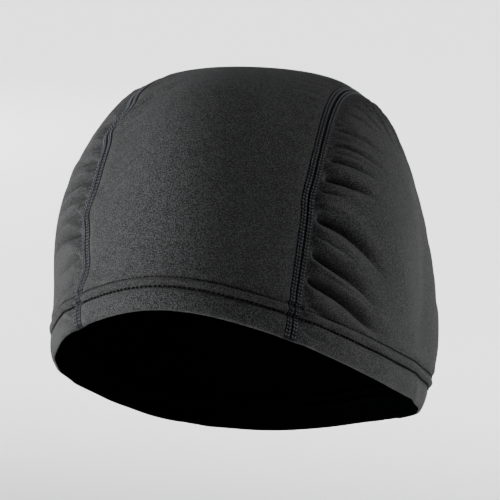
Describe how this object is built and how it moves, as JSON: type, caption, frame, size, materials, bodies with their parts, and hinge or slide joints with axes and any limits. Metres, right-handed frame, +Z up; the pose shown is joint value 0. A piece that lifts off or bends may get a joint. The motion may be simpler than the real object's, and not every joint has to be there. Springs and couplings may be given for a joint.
{
  "type": "helmet liner cap",
  "caption": "Close-fitting stretch jersey skull cap for wear under a helmet: a centre panel between two gathered side panels, flat-locked seams and a turned-up stitched hem.",
  "frame": {"origin": "the inside of the crown straight above the middle of the line between the ears, where the cap rests on a head", "axes": "+Z up, the front of the cap looks along -Y and the wearer's left is +X"},
  "size_m": [0.1522, 0.2018, 0.167],
  "materials": {
    "jersey": "matte knitted",
    "thread": "satin thread"
  },
  "bodies": {
    "root": {"center_panel": "jersey", "left_panel": "jersey", "right_panel": "jersey", "left_seam": "thread", "right_seam": "thread"}
  },
  "joints": []
}
